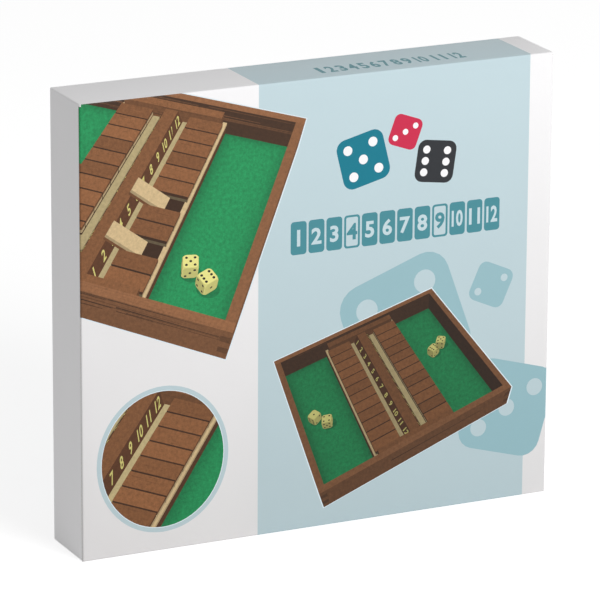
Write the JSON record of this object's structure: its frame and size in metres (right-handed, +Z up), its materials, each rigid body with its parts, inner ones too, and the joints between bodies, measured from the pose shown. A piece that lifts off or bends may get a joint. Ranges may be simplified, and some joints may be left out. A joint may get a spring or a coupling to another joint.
{
  "type": "shut the box game",
  "caption": "Upright printed carton with a hinged front cover, holding a wooden shut the box game: felt lined tray, number ridge, flip tiles on rods, loose dice.",
  "frame": {"origin": "centre of the carton's footprint, on the surface it stands on", "axes": "+Z up, X along the front from left to right, the printed front cover faces -Y"},
  "size_m": [0.332, 0.048, 0.3],
  "materials": {
    "printed_board": "satin white printed carton board",
    "cover_print": "satin print, white and pale blue",
    "raw_board": "unprinted brown fluted board",
    "sapele": "satin oiled sapele",
    "tile_wood": "satin oiled sapele, pale maple underside",
    "dark_sapele": "satin dark stained sapele",
    "maple": "sanded pale maple",
    "plywood": "thin plywood",
    "felt": "short pile green felt",
    "steel_rod": "drawn steel rod",
    "die_plastic": "polished cream plastic with black pips"
  },
  "bodies": {
    "carton": {"carton_back_panel": "printed_board", "carton_top_wall": "printed_board", "carton_bottom_wall": "printed_board", "carton_left_wall": "printed_board", "carton_right_wall": "printed_board", "carton_left_liner": "raw_board", "carton_right_liner": "raw_board", "bottom_pad": "raw_board", "back_pad": "raw_board", "tray_rail_bottom": "sapele", "tray_rail_top": "sapele", "tray_rail_left": "sapele", "tray_rail_right": "sapele", "tray_floor": "plywood", "felt_bed_left": "felt", "felt_bed_right": "felt", "divider_left": "dark_sapele", "divider_right": "dark_sapele", "divider_cap_left": "maple", "divider_cap_right": "maple", "number_ridge": "dark_sapele", "end_rail_bottom": "sapele", "end_rail_top": "sapele", "tile_rod_left": "steel_rod", "tile_rod_right": "steel_rod", "dowel_left": "maple", "dowel_right": "maple"},
    "cover": {"front_cover": "cover_print", "cover_tuck_flap": "raw_board", "cover_left_dust_flap": "raw_board", "cover_right_dust_flap": "raw_board"},
    "tile_left_1": {"tile_left_1": "tile_wood"},
    "tile_left_2": {"tile_left_2": "tile_wood"},
    "tile_left_3": {"tile_left_3": "tile_wood"},
    "tile_left_4": {"tile_left_4": "tile_wood"},
    "tile_left_5": {"tile_left_5": "tile_wood"},
    "tile_left_6": {"tile_left_6": "tile_wood"},
    "tile_left_7": {"tile_left_7": "tile_wood"},
    "tile_left_8": {"tile_left_8": "tile_wood"},
    "tile_left_9": {"tile_left_9": "tile_wood"},
    "tile_left_10": {"tile_left_10": "tile_wood"},
    "tile_left_11": {"tile_left_11": "tile_wood"},
    "tile_left_12": {"tile_left_12": "tile_wood"},
    "tile_right_1": {"tile_right_1": "tile_wood"},
    "tile_right_2": {"tile_right_2": "tile_wood"},
    "tile_right_3": {"tile_right_3": "tile_wood"},
    "tile_right_4": {"tile_right_4": "tile_wood"},
    "tile_right_5": {"tile_right_5": "tile_wood"},
    "tile_right_6": {"tile_right_6": "tile_wood"},
    "tile_right_7": {"tile_right_7": "tile_wood"},
    "tile_right_8": {"tile_right_8": "tile_wood"},
    "tile_right_9": {"tile_right_9": "tile_wood"},
    "tile_right_10": {"tile_right_10": "tile_wood"},
    "tile_right_11": {"tile_right_11": "tile_wood"},
    "tile_right_12": {"tile_right_12": "tile_wood"},
    "die_left_1": {"die_left_1": "die_plastic"},
    "die_left_2": {"die_left_2": "die_plastic"},
    "die_right_1": {"die_right_1": "die_plastic"},
    "die_right_2": {"die_right_2": "die_plastic"}
  },
  "joints": [
    {"name": "cover_open", "type": "hinge", "parent": "carton", "child": "cover", "pos_m": [0, -0.02415, 0.2983], "axis": [-1, 0, 0], "range_deg": [0, 180]},
    {"name": "tile_left_1_flip", "type": "hinge", "parent": "carton", "child": "tile_left_1", "pos_m": [-0.0351, -0.0053, 0.2622], "axis": [0, 0, 1], "range_deg": [0, 155]},
    {"name": "tile_left_2_flip", "type": "hinge", "parent": "carton", "child": "tile_left_2", "pos_m": [-0.0351, -0.0053, 0.24171], "axis": [0, 0, 1], "range_deg": [0, 155]},
    {"name": "tile_left_3_flip", "type": "hinge", "parent": "carton", "child": "tile_left_3", "pos_m": [-0.0351, -0.0053, 0.22122], "axis": [0, 0, 1], "range_deg": [0, 155]},
    {"name": "tile_left_4_flip", "type": "hinge", "parent": "carton", "child": "tile_left_4", "pos_m": [-0.0351, -0.0053, 0.20073], "axis": [0, 0, 1], "range_deg": [0, 155]},
    {"name": "tile_left_5_flip", "type": "hinge", "parent": "carton", "child": "tile_left_5", "pos_m": [-0.0351, -0.0053, 0.18024], "axis": [0, 0, 1], "range_deg": [0, 155]},
    {"name": "tile_left_6_flip", "type": "hinge", "parent": "carton", "child": "tile_left_6", "pos_m": [-0.0351, -0.0053, 0.15975], "axis": [0, 0, 1], "range_deg": [0, 155]},
    {"name": "tile_left_7_flip", "type": "hinge", "parent": "carton", "child": "tile_left_7", "pos_m": [-0.0351, -0.0053, 0.13925], "axis": [0, 0, 1], "range_deg": [0, 155]},
    {"name": "tile_left_8_flip", "type": "hinge", "parent": "carton", "child": "tile_left_8", "pos_m": [-0.0351, -0.0053, 0.11876], "axis": [0, 0, 1], "range_deg": [0, 155]},
    {"name": "tile_left_9_flip", "type": "hinge", "parent": "carton", "child": "tile_left_9", "pos_m": [-0.0351, -0.0053, 0.09827], "axis": [0, 0, 1], "range_deg": [0, 155]},
    {"name": "tile_left_10_flip", "type": "hinge", "parent": "carton", "child": "tile_left_10", "pos_m": [-0.0351, -0.0053, 0.07778], "axis": [0, 0, 1], "range_deg": [0, 155]},
    {"name": "tile_left_11_flip", "type": "hinge", "parent": "carton", "child": "tile_left_11", "pos_m": [-0.0351, -0.0053, 0.05729], "axis": [0, 0, 1], "range_deg": [0, 155]},
    {"name": "tile_left_12_flip", "type": "hinge", "parent": "carton", "child": "tile_left_12", "pos_m": [-0.0351, -0.0053, 0.0368], "axis": [0, 0, 1], "range_deg": [0, 155]},
    {"name": "tile_right_1_flip", "type": "hinge", "parent": "carton", "child": "tile_right_1", "pos_m": [0.0351, -0.0053, 0.0368], "axis": [0, 0, -1], "range_deg": [0, 155]},
    {"name": "tile_right_2_flip", "type": "hinge", "parent": "carton", "child": "tile_right_2", "pos_m": [0.0351, -0.0053, 0.05729], "axis": [0, 0, -1], "range_deg": [0, 155]},
    {"name": "tile_right_3_flip", "type": "hinge", "parent": "carton", "child": "tile_right_3", "pos_m": [0.0351, -0.0053, 0.07778], "axis": [0, 0, -1], "range_deg": [0, 155]},
    {"name": "tile_right_4_flip", "type": "hinge", "parent": "carton", "child": "tile_right_4", "pos_m": [0.0351, -0.0053, 0.09827], "axis": [0, 0, -1], "range_deg": [0, 155]},
    {"name": "tile_right_5_flip", "type": "hinge", "parent": "carton", "child": "tile_right_5", "pos_m": [0.0351, -0.0053, 0.11876], "axis": [0, 0, -1], "range_deg": [0, 155]},
    {"name": "tile_right_6_flip", "type": "hinge", "parent": "carton", "child": "tile_right_6", "pos_m": [0.0351, -0.0053, 0.13925], "axis": [0, 0, -1], "range_deg": [0, 155]},
    {"name": "tile_right_7_flip", "type": "hinge", "parent": "carton", "child": "tile_right_7", "pos_m": [0.0351, -0.0053, 0.15975], "axis": [0, 0, -1], "range_deg": [0, 155]},
    {"name": "tile_right_8_flip", "type": "hinge", "parent": "carton", "child": "tile_right_8", "pos_m": [0.0351, -0.0053, 0.18024], "axis": [0, 0, -1], "range_deg": [0, 155]},
    {"name": "tile_right_9_flip", "type": "hinge", "parent": "carton", "child": "tile_right_9", "pos_m": [0.0351, -0.0053, 0.20073], "axis": [0, 0, -1], "range_deg": [0, 155]},
    {"name": "tile_right_10_flip", "type": "hinge", "parent": "carton", "child": "tile_right_10", "pos_m": [0.0351, -0.0053, 0.22122], "axis": [0, 0, -1], "range_deg": [0, 155]},
    {"name": "tile_right_11_flip", "type": "hinge", "parent": "carton", "child": "tile_right_11", "pos_m": [0.0351, -0.0053, 0.24171], "axis": [0, 0, -1], "range_deg": [0, 155]},
    {"name": "tile_right_12_flip", "type": "hinge", "parent": "carton", "child": "tile_right_12", "pos_m": [0.0351, -0.0053, 0.2622], "axis": [0, 0, -1], "range_deg": [0, 155]},
    {"name": "die_left_1_slide", "type": "slide", "parent": "carton", "child": "die_left_1", "axis": [0, 0, 1], "range_m": [0, 0.253]},
    {"name": "die_left_2_slide", "type": "slide", "parent": "carton", "child": "die_left_2", "axis": [0, 0, 1], "range_m": [0, 0.253]},
    {"name": "die_right_1_slide", "type": "slide", "parent": "carton", "child": "die_right_1", "axis": [0, 0, 1], "range_m": [0, 0.253]},
    {"name": "die_right_2_slide", "type": "slide", "parent": "carton", "child": "die_right_2", "axis": [0, 0, 1], "range_m": [0, 0.253]}
  ],
  "couplings": [
    {"joint": "tile_left_1_flip", "follows": "cover_open", "ratio": 0.8611},
    {"joint": "tile_left_2_flip", "follows": "cover_open", "ratio": 0.8611},
    {"joint": "tile_left_3_flip", "follows": "cover_open", "ratio": 0.8611},
    {"joint": "tile_left_4_flip", "follows": "cover_open", "ratio": 0.8611},
    {"joint": "tile_left_5_flip", "follows": "cover_open", "ratio": 0.8611},
    {"joint": "tile_left_6_flip", "follows": "cover_open", "ratio": 0.8611},
    {"joint": "tile_left_7_flip", "follows": "cover_open", "ratio": 0.8611},
    {"joint": "tile_left_8_flip", "follows": "cover_open", "ratio": 0.8611},
    {"joint": "tile_left_9_flip", "follows": "cover_open", "ratio": 0.8611},
    {"joint": "tile_left_10_flip", "follows": "cover_open", "ratio": 0.8611},
    {"joint": "tile_left_11_flip", "follows": "cover_open", "ratio": 0.8611},
    {"joint": "tile_left_12_flip", "follows": "cover_open", "ratio": 0.8611},
    {"joint": "tile_right_1_flip", "follows": "cover_open", "ratio": 0.8611},
    {"joint": "tile_right_2_flip", "follows": "cover_open", "ratio": 0.8611},
    {"joint": "tile_right_3_flip", "follows": "cover_open", "ratio": 0.8611},
    {"joint": "tile_right_4_flip", "follows": "cover_open", "ratio": 0.8611},
    {"joint": "tile_right_5_flip", "follows": "cover_open", "ratio": 0.8611},
    {"joint": "tile_right_6_flip", "follows": "cover_open", "ratio": 0.8611},
    {"joint": "tile_right_7_flip", "follows": "cover_open", "ratio": 0.8611},
    {"joint": "tile_right_8_flip", "follows": "cover_open", "ratio": 0.8611},
    {"joint": "tile_right_9_flip", "follows": "cover_open", "ratio": 0.8611},
    {"joint": "tile_right_10_flip", "follows": "cover_open", "ratio": 0.8611},
    {"joint": "tile_right_11_flip", "follows": "cover_open", "ratio": 0.8611},
    {"joint": "tile_right_12_flip", "follows": "cover_open", "ratio": 0.8611}
  ]
}
